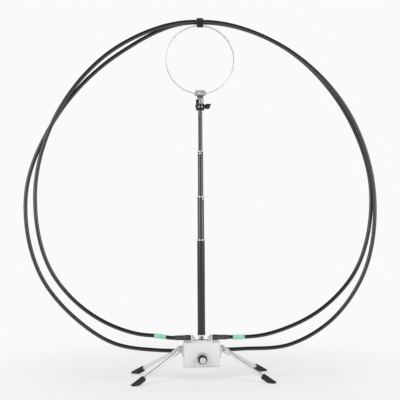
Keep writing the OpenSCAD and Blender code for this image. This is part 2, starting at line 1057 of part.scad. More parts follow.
module feed_block() {
  color("darkgray")
    difference() {
      translate([0, block_d / 2, 0])
        rotate([90, 0, 0])
          linear_extrude(block_d)
            polygon([
              [-block_w / 2, block_z],
              [block_w / 2, block_z],
              [block_w / 2, block_top - block_chamfer],
              [block_w / 2 - block_chamfer, block_top],
              [-block_w / 2 + block_chamfer, block_top],
              [-block_w / 2, block_top - block_chamfer],
            ]);
      translate([0, 0, ring_z])
        rotate([90, 0, 0])
          difference() {
            cylinder(h = strip_w + 2 * pocket_play, r = ring_r + pocket_play, center = true, $fn = 96);
            cylinder(h = strip_w + 2, r = ring_in_r - pocket_play, center = true, $fn = 96);
          }
      translate([0, 0, block_z - 1])
        cylinder(h = 4 + 0.05, r = stud_r + seat_fit);
      for (x = [-1, 1])
        for (y = [-1, 1])
          translate([x * ring_screw_x, y * ring_screw_y, block_z + 1])
            cylinder(h = block_h, r = ring_screw_r + seat_fit);
      translate([0, 0, feed_z])
        bar_y(block_d / 2 - 1.5, block_d / 2 + 1, 2.5 + seat_fit);
    }
}

module coupling_ring() {
  color("gainsboro")
    difference() {
      translate([0, 0, ring_z])
        rotate([90, 0, 0])
          translate([0, 0, -strip_w / 2])
            rotate([0, 0, -90 + ring_gap_angle / 2])
              rotate_extrude(angle = 360 - ring_gap_angle, $fn = 180)
                translate([ring_in_r, 0])
                  square([strip_t, strip_w]);
      for (x = [-1, 1])
        for (y = [-1, 1])
          translate([x * ring_screw_x, y * ring_screw_y, block_z])
            cylinder(h = block_h, r = ring_hole_r);
    }
}

module ring_screws() {
  color("gainsboro")
    for (x = [-1, 1])
      for (y = [-1, 1])
        translate([x * ring_screw_x, y * ring_screw_y, 0]) {
          translate([0, 0, block_top])
            cylinder(h = ring_head_h, r = ring_head_r);
          translate([0, 0, block_z + 1.2])
            cylinder(h = block_h - 1, r = ring_screw_r);
        }
}

module feed_socket() {
  color("lightsteelblue")
    translate([0, 0, feed_z])
      difference() {
        union() {
          bar_y(block_d / 2 - 1.4, block_d / 2 + 1, 2.5);
          bar_y(block_d / 2, block_d / 2 + feed_flange_t, feed_flange_r);
          bar_y(block_d / 2 + 1, block_d / 2 + feed_flange_t + feed_len, socket_r);
        }
        difference() {
          bar_y(block_d / 2 + feed_flange_t + 2, block_d / 2 + feed_flange_t + feed_len + 1, socket_bore_r);
          bar_y(block_d / 2, block_d / 2 + feed_flange_t + feed_len - 2, 1);
        }
      }
}

// Loop cable, its plugs, bands and clips

module loop_cable() {
  color("#262626")
    polyhedron(points = cable_points, faces = cable_faces, convexity = 8);
}

module plug_bodies() {
  color("silver")
    on_sockets()
      both_sides()
        union() {
          bar_x(plug_nose_x, plug_flange_x + 0.5, socket_bore_r - 0.2);
          bar_x(plug_flange_x, plug_flange_x + plug_flange_t, plug_flange_r);
          bar_x(plug_flange_x + plug_flange_t - 0.5, plug_back_x + 0.5, plug_neck_r);
          bar_x(plug_back_x, cable_x, plug_back_r);
        }
}

module plug_boots() {
  color("#333333")
    on_sockets()
      both_sides()
        difference() {
          bar_x(plug_back_x, plug_back_x + boot_len, boot_r);
          bar_x(plug_back_x - 1, plug_back_x + boot_len + 1, boot_bore_r);
        }
}

// Knurled nut of the right plug, seen from the mast outwards
module plug_nut() {
  on_sockets()
    difference() {
      translate([nut_x, 0, 0])
        rotate([0, 90, 0])
          fluted(nut_len, nut_r, 28, 0.6);
      bar_x(nut_x - 1, nut_x + nut_len - nut_wall_t, nut_bore_r);
      bar_x(nut_x, nut_x + nut_len + 1, plug_neck_r + run_fit);
    }
}

module plug_nut_left() {
  color("#303030")
    mirror([1, 0, 0])
      plug_nut();
}

module plug_nut_right() {
  color("#303030")
    plug_nut();
}

// Shrunk band on the cable, on knot i of the route
module band(i) {
  translate(knots[i])
    rotate([0, -atan2(knot_slope(i)[2], knot_slope(i)[0]), 0])
      difference() {
        bar_x(-band_len / 2, band_len / 2, band_r);
        bar_x(-band_len, band_len, band_bore_r);
      }
}

module green_bands() {
  color("mediumaquamarine") {
    band(2);
    band(last_knot - 2);
  }
}

// Two bores for the two turns of the cable
module clip_bores() {
  for (y = [-turn_y, turn_y])
    translate([0, y, clip_cable_z])
      bar_x(-clip_w, clip_w, clip_bore_r);
}

module clip_body() {
  color("#1a1a1a")
    difference() {
      union() {
        translate([-clip_w / 2, -clip_front, clip_bottom])
          cube([clip_w, 2 * clip_front, clip_cable_z - clip_bottom]);
        translate([-clip_w / 2, -clip_front, clip_bottom - clip_lip_h])
          cube([clip_w, clip_lip_t, clip_lip_h + 1]);
      }
      clip_bores();
    }
}

module clip_cap() {
  color("#1a1a1a")
    difference() {
      translate([-clip_w / 2, -clip_front, clip_cable_z])
        cube([clip_w, 2 * clip_front, clip_top - clip_cable_z]);
      clip_bores();
    }
}

module rear_cable_clip() {
  color("#1a1a1a")
    difference() {
      union() {
        translate([-6, rear_y, pass_z - 9])
          cube([12, 2.5, 18]);
        translate([-6, rear_y, pass_z - 7.5])
          cube([12, pass_y - rear_y, 15]);
        translate([0, pass_y, pass_z])
          bar_x(-6, 6, 7.5);
      }
      translate([0, pass_y, pass_z])
        bar_x(-7, 7, cable_d / 2 + 0.4);
    }
}

// Stand

module leg_brackets() {
  color("silver")
    both_sides()
      difference() {
        union() {
          translate([side_x, -hinge_ear_y - hinge_ear_t, hinge_z - hinge_plate_h + hinge_plate_top])
            cube([hinge_plate_t, 2 * (hinge_ear_y + hinge_ear_t), hinge_plate_h]);
          for (y = [-hinge_ear_y - hinge_ear_t, hinge_ear_y]) {
            translate([side_x, y, hinge_z - hinge_ear_r])
              cube([hinge_x - side_x, hinge_ear_t, 2 * hinge_ear_r]);
            translate([hinge_x, y, hinge_z])
              bar_y(0, hinge_ear_t, hinge_ear_r);
          }
        }
        translate([hinge_x, 0, hinge_z])
          bar_y(-hinge_ear_y - 5, hinge_ear_y + 5, hinge_pin_r + seat_fit);
        for (y = [-1, 1])
          translate([side_x - 1, y * hinge_screw_y, hinge_z - hinge_screw_drop])
            rotate([0, 90, 0])
              cylinder(h = hinge_plate_t + 2, r = screw_r + 0.1);
      }
}

module leg_bracket_screws() {
  color("gainsboro")
    both_sides()
      for (y = [-1, 1])
        translate([side_x + hinge_plate_t, y * hinge_screw_y, hinge_z - hinge_screw_drop])
          rotate([0, 90, 0]) {
            cylinder(h = 1.2, r = screw_head_r);
            translate([0, 0, -7])
              cylinder(h = 7.5, r = screw_r);
          }
}

module leg_pins() {
  color("gray")
    both_sides()
      translate([hinge_x, 0, hinge_z]) {
        bar_y(-hinge_ear_y - hinge_ear_t - 1, hinge_ear_y + hinge_ear_t + 1, hinge_pin_r);
        bar_y(-hinge_ear_y - hinge_ear_t - 2, -hinge_ear_y - hinge_ear_t, hinge_pin_r + 2);
        bar_y(hinge_ear_y + hinge_ear_t, hinge_ear_y + hinge_ear_t + 2, hinge_pin_r + 2);
      }
}

module leg_yoke() {
  difference() {
    union() {
      translate([hinge_x, 0, hinge_z])
        bar_y(-hinge_ear_y + play, hinge_ear_y - play, hinge_barrel_r);
      for (s = [-1, 1])
        on_rod(s)
          cylinder(h = rod_socket, r = rod_d / 2 + 2.2);
      intersection() {
        translate([hinge_x, 0, hinge_z])
          rotate([0, heel_angle, 0])
            translate([-heel_len, -heel_w / 2, -heel_t / 2])
              cube([heel_len, heel_w, heel_t]);
        translate([side_x + hinge_plate_t + play, -heel_w, hinge_z - heel_len])
          cube([2 * heel_len, 2 * heel_w, 2 * heel_len]);
      }
    }
    translate([hinge_x, 0, hinge_z])
      bar_y(-hinge_ear_y - 1, hinge_ear_y + 1, hinge_pin_r + run_fit);
    for (s = [-1, 1])
      on_rod(s)
        translate([0, 0, rod_start])
          cylinder(h = rod_socket, r = rod_d / 2 + seat_fit);
  }
}

module leg_rods() {
  for (s = [-1, 1])
    on_rod(s)
      translate([0, 0, rod_start])
        cylinder(h = rod_len - rod_start - 7, r = rod_d / 2);
}

module leg_feet() {
  difference() {
    for (s = [-1, 1])
      on_rod(s)
        difference() {
          translate([0, 0, rod_len - foot_len])
            cylinder(h = foot_len + 14, r = foot_r);
          translate([0, 0, rod_len - foot_len - 1])
            cylinder(h = foot_len - 6, r = rod_d / 2 + seat_fit);
        }
    translate([hinge_x, -2 * leg_spread, -floor_depth])
      cube([2 * leg_reach, 4 * leg_spread, floor_depth]);
  }
}

module leg_yoke_left() {
  color("silver")
    mirror([1, 0, 0])
      leg_yoke();
}

module leg_yoke_right() {
  color("silver")
    leg_yoke();
}

module leg_rods_left() {
  color("gainsboro")
    mirror([1, 0, 0])
      leg_rods();
}

module leg_rods_right() {
  color("gainsboro")
    leg_rods();
}

module leg_feet_left() {
  color("#202020")
    mirror([1, 0, 0])
      leg_feet();
}

module leg_feet_right() {
  color("#202020")
    leg_feet();
}

// Moving parts of the tuner

module tuning_knob() {
  color("#202020")
    on_knob()
      difference() {
        union() {
          translate([0, knob_rear_y - skirt_t, 0])
            bar_y(0, skirt_t, skirt_r);
          translate([0, knob_rear_y - skirt_t + 0.5, 0])
            rotate([90, 0, 0])
              fluted(knob_len + 0.5, knob_r, flute_count, flute_r);
        }
        bar_y(knob_front_y + 4, knob_rear_y + 1, shaft_r + seat_fit);
      }
}

module knob_shaft() {
  color("silver")
    on_knob()
      bar_y(knob_front_y + 4, drive_split_y - 0.3, shaft_r);
}

module rotor_shaft() {
  color("silver")
    on_shaft()
      bar_y(drive_split_y + 0.3, shaft_tail_y, shaft_r);
}

// One rotor plate, two wings on a hub, flat
module rotor_shape() {
  difference() {
    union() {
      circle(shaft_r + 2);
      for (turn = [0, 180])
        rotate(turn)
          intersection() {
            circle(rotor_r);
            polygon([
              [0, 0],
              [2 * rotor_r * cos(wing_angle / 2), -2 * rotor_r * sin(wing_angle / 2)],
              [2 * rotor_r * cos(wing_angle / 2), 2 * rotor_r * sin(wing_angle / 2)],
            ]);
          }
    }
    circle(shaft_r + seat_fit);
  }
}

module rotor_plates() {
  color("gainsboro")
    on_shaft()
      for (i = [0:rotor_count - 1])
        translate([0, first_rotor_y + i * plate_pitch + plate_t / 2, 0])
          rotate([90, 45, 0])
            linear_extrude(plate_t)
              rotor_shape();
}

tuner_case();
bottom_cover();
cover_screws();
tripod_insert();
dial_plate();
capacitor_frame();
stator_plates();
reduction_drive();
copper_straps();
socket_bracket();
bracket_screws();
loop_sockets();
socket_insulators();
mast_foot();
mast_foot_screw();
mast_tube_1();
mast_collar_1();
leg_brackets();
leg_bracket_screws();
leg_pins();
plug_bodies();
plug_boots();
green_bands();
loop_cable();
clip_body();
clip_cap();
rear_cable_clip();
tuning_knob();
knob_shaft();
rotor_shaft();
rotor_plates();
plug_nut_left();
plug_nut_right();
leg_yoke_left();
leg_rods_left();
leg_feet_left();
leg_yoke_right();
leg_rods_right();
leg_feet_right();
mast_tube_2();
mast_collar_2();
mast_bush_2();
mast_tube_3();
mast_collar_3();
mast_bush_3();
mast_tube_4();
mast_bush_4();
head_fork();
tilt_bolt();
lock_button_1();
lock_button_2();
lock_button_3();
tilt_tongue();
feed_block();
coupling_ring();
ring_screws();
feed_socket();
lock_ring();
wing_knob();
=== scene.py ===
"""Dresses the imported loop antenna: materials, the smooth cable, trim, camera and studio light."""

import json
import math

import bmesh
import bpy
from mathutils import Matrix, Vector


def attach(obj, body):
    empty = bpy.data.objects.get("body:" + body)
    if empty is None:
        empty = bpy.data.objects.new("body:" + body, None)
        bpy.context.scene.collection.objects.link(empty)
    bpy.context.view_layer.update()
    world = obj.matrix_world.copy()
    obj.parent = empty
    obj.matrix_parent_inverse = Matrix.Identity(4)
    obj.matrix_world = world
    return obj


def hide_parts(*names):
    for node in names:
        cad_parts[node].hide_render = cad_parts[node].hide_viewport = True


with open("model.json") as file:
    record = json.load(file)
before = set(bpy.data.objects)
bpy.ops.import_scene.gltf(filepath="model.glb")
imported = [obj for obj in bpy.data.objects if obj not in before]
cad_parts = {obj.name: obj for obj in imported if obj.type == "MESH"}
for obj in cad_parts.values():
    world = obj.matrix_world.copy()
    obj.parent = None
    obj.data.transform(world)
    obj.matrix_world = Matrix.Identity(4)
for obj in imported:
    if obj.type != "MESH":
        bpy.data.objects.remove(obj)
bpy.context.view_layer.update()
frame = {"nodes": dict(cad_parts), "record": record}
NODES = frame["nodes"]

MM = 0.001

# Sizes in millimetres, most of them repeated from the CAD source
CASE_W, CASE_D, CASE_CORNER = 94.0, 60.0, 7.0
CASE_LOW, CASE_TOP = 36.0, 95.0
KNOB_Z = 53.5
DIAL_FRONT = -31.2
KNOB_FRONT = -48.7
SKIRT_FRONT = -34.7
SOCKET_Z = 105.5
EAR_X = 27.0
NUT_X, NUT_LEN = 28.2, 17.0
BOOT_X = 45.5
THREAD_R, THREAD_PITCH, THREAD_DEPTH = 5.5, 1.06, 0.5
CABLE_R = 5.15
CABLE_X = 51.5
BAND_LEN, BAND_R = 31.0, 6.15
PASS_Z, PASS_Y = 66.0, 43.0
CLIP_CABLE_Z = 924.95
FEED_Y, FEED_Z = 12.0, 740.6
BLOCK_Z, BLOCK_TOP = 734.1, 747.1
BLOCK_HALF, BLOCK_SLOPE, BLOCK_DEPTH = 14.0, 4.0, 24.0
RING_Z, RING_R, STRIP_T, STRIP_W, STRIP_EDGE = 827.1, 89.0, 1.5, 20.0, 0.7
BRACKET_TOP, FLANGE_TOP, SHOULDER_Z, TUBE_END = 97.5, 100.0, 110.0, 113.0
BRACKET_SCREW_X, BRACKET_SCREW_Y = 16.5, 8.2
RING_SCREW_X, RING_SCREW_Y = 9, 6
HINGE_SCREW_X, HINGE_SCREW_Y, HINGE_SCREW_Z = 49.5, 5, 61.0
COVER_SCREW_X, COVER_SCREW_Y, COVER_SCREW_Z = 39.5, 22.5, 34.8
BLOCK_SCREW_X, BLOCK_SCREW_Z = 4.2, 740.0
HINGE_X, HINGE_Z = 56.0, 75.0
LEG_REACH, LEG_SPREAD, LEG_DROP, ROD_START_Y = 112.0, 70.0, 71.0, 8.5
LOOP_R = (CLIP_CABLE_Z - PASS_Z + 30) / 2
LOOP_Z = PASS_Z + LOOP_R - 26
LOOP_KEYS = [
    (-150, -34, 0), (-135, -18, -1), (-120, -9, -2), (-90, -19, -4), (-60, -24, -6), (-30, -14, -6), (-2, -3.7, -6),
    (0, -4, -6), (2, -3.7, -6), (30, -9, -6), (60, -4, -6), (90, 12, -5), (120, 39, 4), (135, 40, 12), (150, 24, 26),
    (165, -13, PASS_Y - 4), (180, -26, PASS_Y), (195, -13, PASS_Y - 4), (210, 11, 27), (225, 17, 16), (240, 22, 11),
    (270, 5, 7), (300, -27, 6), (330, -29, 6), (358, -3.7, 6), (360, -4, 6), (362, -3.7, 6), (390, -7, 6),
    (420, -9, 7), (450, 7, 7), (480, 13, 2), (495, -3, 0), (510, -26, 0),
]


# Materials

RAMP_START, RAMP_END = 0.3, 0.7
BUMP_STRENGTH = 0.35


def new_material(name):
    mat = bpy.data.materials.new(name)
    mat.use_nodes = True
    return mat, mat.node_tree, mat.node_tree.nodes["Principled BSDF"]


def coords(tree, scale=(1, 1, 1)):
    """Object coordinates, stretched by scale."""
    place = tree.nodes.new("ShaderNodeTexCoord")
    mapping = tree.nodes.new("ShaderNodeMapping")
    mapping.inputs["Scale"].default_value = scale
    tree.links.new(place.outputs["Object"], mapping.inputs["Vector"])
    return mapping.outputs["Vector"]


def noise(tree, vector, scale, detail):
    node = tree.nodes.new("ShaderNodeTexNoise")
    node.inputs["Scale"].default_value = scale
    node.inputs["Detail"].default_value = detail
    node.inputs["Roughness"].default_value = 0.55
    tree.links.new(vector, node.inputs["Vector"])
    return node.outputs["Fac"]


def as_rgba(value):
    return (*value, 1) if isinstance(value, tuple) else (value, value, value, 1)


def ramp(tree, fac, low, high):
    """Colour ramp between two grey or RGB values."""
    node = tree.nodes.new("ShaderNodeValToRGB")
    first, last = node.color_ramp.elements
    first.position, first.color = RAMP_START, as_rgba(low)
    last.position, last.color = RAMP_END, as_rgba(high)
    tree.links.new(fac, node.inputs["Fac"])
    return node.outputs["Color"]


def bump(tree, height, distance):
    node = tree.nodes.new("ShaderNodeBump")
    node.inputs["Strength"].default_value = BUMP_STRENGTH
    node.inputs["Distance"].default_value = distance
    tree.links.new(height, node.inputs["Height"])
    return node.outputs["Normal"]


def shade(name, low, high, metal=0.0, rough=(0.4, 0.5), grain=900.0, height=0.00004, patch=25.0,
          stretch=(1, 1, 1), specular=0.5):
    """A surface with slow colour change, fine roughness change and fine grain."""
    mat, tree, shader = new_material(name)
    slow = noise(tree, coords(tree), patch, 4.0)
    grit = noise(tree, coords(tree, stretch), grain, 2.0)
    tree.links.new(ramp(tree, slow, low, high), shader.inputs["Base Color"])
    tree.links.new(ramp(tree, grit, rough[0], rough[1]), shader.inputs["Roughness"])
    tree.links.new(bump(tree, grit, height), shader.inputs["Normal"])
    shader.inputs["Metallic"].default_value = metal
    shader.inputs["Specular IOR Level"].default_value = specular
    return mat


FINISHES = {
    "white_plastic": dict(low=(0.86, 0.85, 0.838), high=(0.89, 0.88, 0.868), rough=(0.38, 0.48),
                          grain=1400),
    "pale_plastic": dict(low=(0.62, 0.62, 0.61), high=(0.68, 0.68, 0.67), rough=(0.42, 0.52), grain=1400),
    "insulator": dict(low=(0.80, 0.77, 0.68), high=(0.86, 0.83, 0.75), rough=(0.3, 0.4), grain=800),
    "grey_plastic": dict(low=(0.36, 0.36, 0.36), high=(0.42, 0.42, 0.415), rough=(0.35, 0.45), grain=1200),
    "black_plastic": dict(low=(0.013, 0.013, 0.014), high=(0.020, 0.020, 0.021), rough=(0.36, 0.48),
                          grain=1500, specular=0.4),
    "cable_jacket": dict(low=(0.0085, 0.0085, 0.0087), high=(0.0125, 0.0125, 0.0127), rough=(0.19, 0.23),
                         grain=900, height=0.000006, specular=0.8),
    "black_shrink": dict(low=(0.047, 0.047, 0.046), high=(0.064, 0.064, 0.062), rough=(0.42, 0.56),
                         grain=600),
    "green_shrink": dict(low=(0.27, 0.70, 0.45), high=(0.33, 0.78, 0.52), rough=(0.36, 0.46), grain=500),
    "foot_rubber": dict(low=(0.018, 0.018, 0.018), high=(0.028, 0.028, 0.028), rough=(0.6, 0.75),
                        grain=900),
    "black_anodised": dict(low=(0.012, 0.0118, 0.0116), high=(0.018, 0.0177, 0.0174), metal=0.1,
                           rough=(0.19, 0.25), grain=700, height=0.000006, stretch=(1, 1, 0.02),
                           specular=0.6),
    "dark_anodised": dict(low=(0.030, 0.0295, 0.029), high=(0.042, 0.0415, 0.041), metal=0.1,
                          rough=(0.17, 0.23), grain=700, height=0.000006, stretch=(1, 1, 0.02),
                          specular=0.9),
    "grey_anodised": dict(low=(0.075, 0.074, 0.073), high=(0.095, 0.094, 0.093), metal=0.15,
                          rough=(0.26, 0.34), grain=700, height=0.00001, stretch=(1, 1, 0.02),
                          specular=0.8),
    "chrome": dict(low=(0.84, 0.84, 0.85), high=(0.9, 0.9, 0.9), metal=1.0, rough=(0.06, 0.12), grain=400,
                   height=0.000005),
    "aluminium": dict(low=(0.75, 0.75, 0.755), high=(0.81, 0.81, 0.815), metal=0.7, rough=(0.44, 0.52),
                      grain=900, height=0.00002, stretch=(1, 1, 0.06)),
    "bright_strip": dict(low=(0.66, 0.66, 0.665), high=(0.70, 0.70, 0.705), metal=0.08, rough=(0.42, 0.48),
                         grain=60, height=0.0, patch=6.0),
    "collar_metal": dict(low=(0.52, 0.52, 0.525), high=(0.58, 0.58, 0.585), metal=0.9, rough=(0.34, 0.42),
                         grain=900, height=0.000006),
    "satin_metal": dict(low=(0.47, 0.47, 0.475), high=(0.54, 0.54, 0.545), metal=1.0, rough=(0.24, 0.32),
                        grain=700, height=0.00001, stretch=(1, 1, 0.05)),
    "nickel": dict(low=(0.58, 0.57, 0.55), high=(0.68, 0.67, 0.64), metal=1.0, rough=(0.18, 0.3),
                   grain=700, height=0.00001),
    "dark_nickel": dict(low=(0.080, 0.080, 0.077), high=(0.110, 0.110, 0.105), metal=0.6,
                        rough=(0.3, 0.42), grain=900),
    "steel": dict(low=(0.52, 0.52, 0.52), high=(0.58, 0.58, 0.58), metal=1.0, rough=(0.24, 0.32),
                  grain=1800, height=0.000004),
    "black_steel": dict(low=(0.02, 0.02, 0.021), high=(0.035, 0.035, 0.035), metal=0.5, rough=(0.35, 0.45),
                        grain=900),
    "brass": dict(low=(0.70, 0.50, 0.22), high=(0.78, 0.58, 0.28), metal=1.0, rough=(0.2, 0.32), grain=800,
                  height=0.00001),
    "copper": dict(low=(0.72, 0.62, 0.50), high=(0.80, 0.70, 0.58), metal=1.0, rough=(0.25, 0.4),
                   grain=600, height=0.00001),
}
MATS = {name: shade(name, **look) for name, look in FINISHES.items()}

SLOT_OF = {entry["node"]: entry["material_slot"] for entry in frame["record"]["subparts"]}
BODIES = frame["record"]["behaviour"]["bodies"]
BODY_OF = {node: body for body, members in BODIES.items() for node in members}
# Nodes whose finish differs from their slot, as the photograph shows
FINISH_OF = {"mast_tube_2": "dark_anodised", "mast_tube_3": "dark_anodised", "mast_tube_4": "grey_anodised",
             "mast_collar_1": "collar_metal", "mast_collar_2": "collar_metal", "mast_collar_3": "collar_metal",
             "tilt_tongue": "satin_metal", "lock_ring": "dark_nickel"}
for node_name, node in NODES.items():
    node.data.materials.clear()
    node.data.materials.append(MATS[FINISH_OF.get(node_name, SLOT_OF[node_name])])


# Mesh helpers, lengths in millimetres

BOX_FACES = [(0, 1, 2, 3), (4, 5, 6, 7), (0, 1, 5, 4), (1, 2, 6, 5), (2, 3, 7, 6), (3, 0, 4, 7)]
CORNERS = ((1, 1), (-1, 1), (-1, -1), (1, -1))
WELD_M, FLAT_DEG, SHARP_DEG = 2e-6, 0.4, 38


def add_part(bm, verts, faces):
    made = [bm.verts.new(Vector(v) * MM) for v in verts]
    for face in faces:
        bm.faces.new([made[i] for i in face])


def piece(name, parts, slot, body, *replaced, angle=32):
    """One object from (vertices, faces) parts, with material, body and the nodes it stands for."""
    bm = bmesh.new()
    for verts, faces in parts:
        add_part(bm, verts, faces)
    bmesh.ops.recalc_face_normals(bm, faces=bm.faces)
    mesh_piece(name, bm, slot, body, *replaced, angle=angle)


def mesh_piece(name, bm, slot, body, *replaced, angle=32, finish=None):
    """One object from a mesh in metres, smooth apart from edges sharper than angle."""
    mesh = bpy.data.meshes.new(name)
    bm.to_mesh(mesh)
    bm.free()
    mesh.shade_smooth()
    mesh.set_sharp_from_angle(angle=math.radians(angle))
    mesh.materials.append(MATS[finish or slot])
    obj = bpy.data.objects.new(name, mesh)
    bpy.context.scene.collection.objects.link(obj)
    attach(obj, body)
    if replaced:
        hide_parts(*replaced)


def softened(node, width):
    """The CAD node with its sharp outer edges rounded by width."""
    bm = bmesh.new()
    bm.from_mesh(NODES[node].data)
    bmesh.ops.remove_doubles(bm, verts=bm.verts, dist=WELD_M)
    bmesh.ops.dissolve_limit(bm, angle_limit=math.radians(FLAT_DEG), verts=bm.verts, edges=bm.edges)
    sharp = [e for e in bm.edges
             if e.is_manifold and e.is_convex and e.calc_face_angle() > math.radians(SHARP_DEG)]
    bmesh.ops.bevel(bm, geom=sharp, offset=width * MM, offset_type="OFFSET", segments=2, profile=0.5,
                    affect="EDGES", clamp_overlap=False)
    mesh_piece("soft_" + node, bm, SLOT_OF[node], BODY_OF[node], node, finish=FINISH_OF.get(node))


def grid_faces(rings, sides, closed=False):
    """Quads between rings of equal size, with end faces or joined to a closed ring of rings."""
    faces = []
    last = rings if closed else rings - 1
    for i in range(last):
        low, high = i * sides, (i + 1) % rings * sides
        for k in range(sides):
            n = (k + 1) % sides
            faces.append((low + k, high + k, high + n, low + n))
    if not closed:
        faces.append(tuple(range(sides)))
        faces.append(tuple(range((rings - 1) * sides, rings * sides)))
    return faces


def turned(stations, sides, axis, origin=(0, 0, 0), closed=False, radius=None, flip=1):
    """A turned form from (along, radius) stations. radius(along, angle, r) may shape the wall."""
    verts = []
    for along, r in stations:
        for k in range(sides):
            a = 2 * math.pi * k / sides
            size = radius(along, a, r) if radius else r
            c, s, t = size * math.cos(a), size * math.sin(a), along * flip
            offset = {"X": (t, c, s), "Y": (c, t, s), "Z": (c, s, t)}[axis]
            verts.append(Vector(origin) + Vector(offset))
    return verts, grid_faces(len(stations), sides, closed)


def hexagon(angle, across):
    """Radius of a hexagon with the given half width across flats."""
    turn = (angle + math.pi / 6) % (math.pi / 3) - math.pi / 6
    return across / math.cos(turn)


def cross_shape(angle, reach, half):
    """Radius of a cross with four arms."""
    turn = abs((angle + math.pi / 4) % (math.pi / 2) - math.pi / 4)
    if math.tan(turn) * reach <= half:
        return reach / math.cos(turn)
    return half / math.sin(turn)


def screw_head(where, axis, flip, r, h, drive):
    """A pan head with a cross or hexagon recess, standing on where."""
    sides = 48
    dome = [(0.0, r), (0.55 * h, r), (0.8 * h, 0.94 * r), (0.95 * h, 0.8 * r), (h, 0.62 * r)]
    verts = turned(dome, sides, axis, where, flip=flip)[0]
    for depth, grow in ((h, 1.0), (0.45 * h, 0.86)):
        def recess(along, a, _):
            if drive == "hex":
                return hexagon(a, 0.42 * r * grow)
            return cross_shape(a, 0.5 * r * grow, 0.13 * r * grow)
        verts += turned([(depth, 1.0)], sides, axis, where, radius=recess, flip=flip)[0]
    return verts, grid_faces(len(dome) + 2, sides)


def rounded_outline(w, d, r, steps=8):
    """Points of a rectangle with round corners."""
    points = []
    for quarter, (sx, sy) in enumerate(CORNERS):
        for k in range(steps + 1):
            a = math.radians(90 * (quarter + k / steps))
            points.append((sx * (w / 2 - r) + r * math.cos(a), sy * (d / 2 - r) + r * math.sin(a)))
    return points


def rounded_stack(levels, w, d, r):
    """Rounded box from (height, inset) levels."""
    verts = []
    for z, inset in levels:
        outline = rounded_outline(w - 2 * inset, d - 2 * inset, r - inset)
        verts += [Vector((x, y, z)) for x, y in outline]
    return verts, grid_faces(len(levels), len(outline))


def slab(corners, front, back):
    """A thin box from four (x, z) corners, between two depths."""
    return [Vector((x, y, z)) for y in (front, back) for x, z in corners], BOX_FACES


def sweep(path, sides, radius):
    """Closed tube along path. radius(i, angle) gives the wall."""
    verts = []
    count = len(path)
    for i, p in enumerate(path):
        run = (path[min(i + 1, count - 1)] - path[max(i - 1, 0)]).normalized()
        side = run.cross(Vector((0, 1, 0))).normalized()
        deep = side.cross(run)
        for k in range(sides):
            a = 2 * math.pi * k / sides
            verts.append(p + radius(i, a) * (math.cos(a) * side + math.sin(a) * deep))
    return verts, grid_faces(count, sides)


# Loop cable

CABLE_STEP, CABLE_SIDES = 7.0, 20
BAND_STEP, BAND_SIDES = 0.5, 32


def loop_point(key):
    """Point of the route from its angle, its distance past the loop radius and its depth."""
    a, over, depth = key
    r = LOOP_R + over
    return Vector((r * math.sin(math.radians(a)), depth, LOOP_Z + r * math.cos(math.radians(a))))


knots = [Vector(p) for p in (
    (-CABLE_X, 0, SOCKET_Z), (-CABLE_X - 22, 0, SOCKET_Z), (-108, 0, SOCKET_Z + 5), (-166, 0, SOCKET_Z + 12))]
knots += [loop_point(key) for key in LOOP_KEYS]
knots += [Vector(p) for p in (
    (164, 0, SOCKET_Z + 4.5), (97, 0, SOCKET_Z - 0.5), (CABLE_X + 22, 0, SOCKET_Z), (CABLE_X, 0, SOCKET_Z))]
spans = [(b - a).length for a, b in zip(knots, knots[1:])]


def knot_slope(i):
    """Direction at a knot. The ends run straight into the plugs."""
    if i <= 1 or i >= len(knots) - 2:
        return Vector((-1, 0, 0))
    before, after = spans[i - 1], spans[i]
    arrive = (knots[i] - knots[i - 1]) / before
    leave = (knots[i + 1] - knots[i]) / after
    return (leave * before + arrive * after) / (before + after)


def path_at(i, t):
    """Point of the route between knot i and the next, t from 0 to 1."""
    p, q = knots[i], knots[i + 1]
    m, n = knot_slope(i) * spans[i], knot_slope(i + 1) * spans[i]
    return ((2 * t**3 - 3 * t**2 + 1) * p + (t**3 - 2 * t**2 + t) * m
            + (3 * t**2 - 2 * t**3) * q + (t**3 - t**2) * n)


def route(first, last, step):
    """Points of the route from knot first to knot last."""
    points = []
    for i in range(first, last):
        count = max(1, math.ceil(spans[i] / step))
        points += [path_at(i, k / count) for k in range(count)]
    return points + [knots[last]]


def stretch_about(knot, half, step):
    """Points of the route within half a length either side of a knot."""
    before, after = [], []
    for side, found in ((-1, before), (1, after)):
        points = route(knot - 1, knot, step)[::-1] if side < 0 else route(knot, knot + 1, step)
        walked = 0.0
        for a, b in zip(points, points[1:]):
            walked += (b - a).length
            if walked > half:
                break
            found.append(b)
    return before[::-1] + [knots[knot]] + after


cable_path = route(0, len(knots) - 1, CABLE_STEP)
piece("cable", [sweep(cable_path, CABLE_SIDES, lambda i, a: CABLE_R)], "cable_jacket", "base", "loop_cable")

band_parts = []
for knot in (2, len(knots) - 3):
    band_path = stretch_about(knot, BAND_LEN / 2, BAND_STEP)

    def sleeve(i, a, count=len(band_path)):
        end = min(i, count - 1 - i) * BAND_STEP
        rolled = 0.55 * max(0.0, 1 - end / 1.2) ** 2
        waves = 0.05 * math.sin(3 * a + 0.31 * i) + 0.035 * math.sin(5 * a - 0.17 * i)
        return BAND_R - 0.05 - rolled + waves * min(1, end / 3)

    band_parts.append(sweep(band_path, BAND_SIDES, sleeve))
piece("band_sleeves", band_parts, "green_shrink", "base", "green_bands")


# Plugs and sockets

